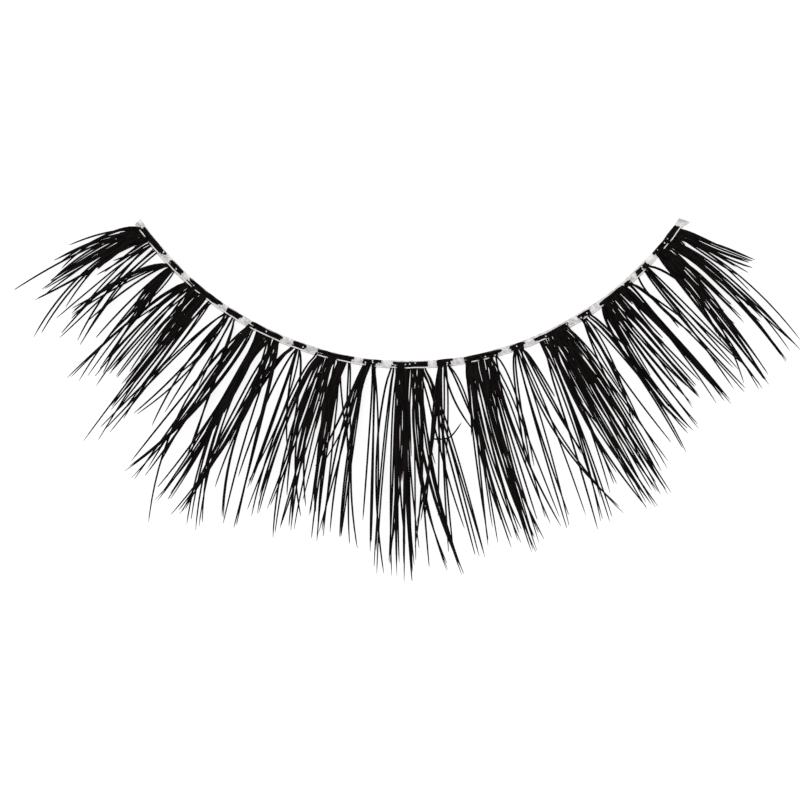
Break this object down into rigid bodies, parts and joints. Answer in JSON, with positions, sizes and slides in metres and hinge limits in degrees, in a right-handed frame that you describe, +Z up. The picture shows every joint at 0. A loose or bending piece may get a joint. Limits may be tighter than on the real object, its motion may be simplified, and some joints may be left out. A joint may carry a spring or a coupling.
{
  "type": "false eyelash strip",
  "caption": "Strip of false eyelashes: an arched clear band with knotted clusters of black tapering lashes that fan out and curl up.",
  "frame": {"origin": "centre of the strip's box on the surface that it lies on, under the band's flat face", "axes": "+X along the strip to the right as seen from above, +Y from the lash tips towards the hollow of the arc, +Z up, the way the lashes curl"},
  "size_m": [0.0416, 0.0192, 0.0063],
  "materials": {
    "clear_film": "clear flexible film with a fine clear thread along its outer edge",
    "black_fibre": "near-black satin fibre, paler where a single hair thins to its tip"
  },
  "bodies": {
    "root": {"band": "clear_film", "lash_cluster_01": "black_fibre", "lash_cluster_02": "black_fibre", "lash_cluster_03": "black_fibre", "lash_cluster_04": "black_fibre", "lash_cluster_05": "black_fibre", "lash_cluster_06": "black_fibre", "lash_cluster_07": "black_fibre", "lash_cluster_08": "black_fibre", "lash_cluster_09": "black_fibre", "lash_cluster_10": "black_fibre", "lash_cluster_11": "black_fibre", "lash_cluster_12": "black_fibre", "lash_cluster_13": "black_fibre", "lash_cluster_14": "black_fibre", "lash_cluster_15": "black_fibre", "lash_cluster_16": "black_fibre", "lash_cluster_17": "black_fibre"}
  },
  "joints": []
}
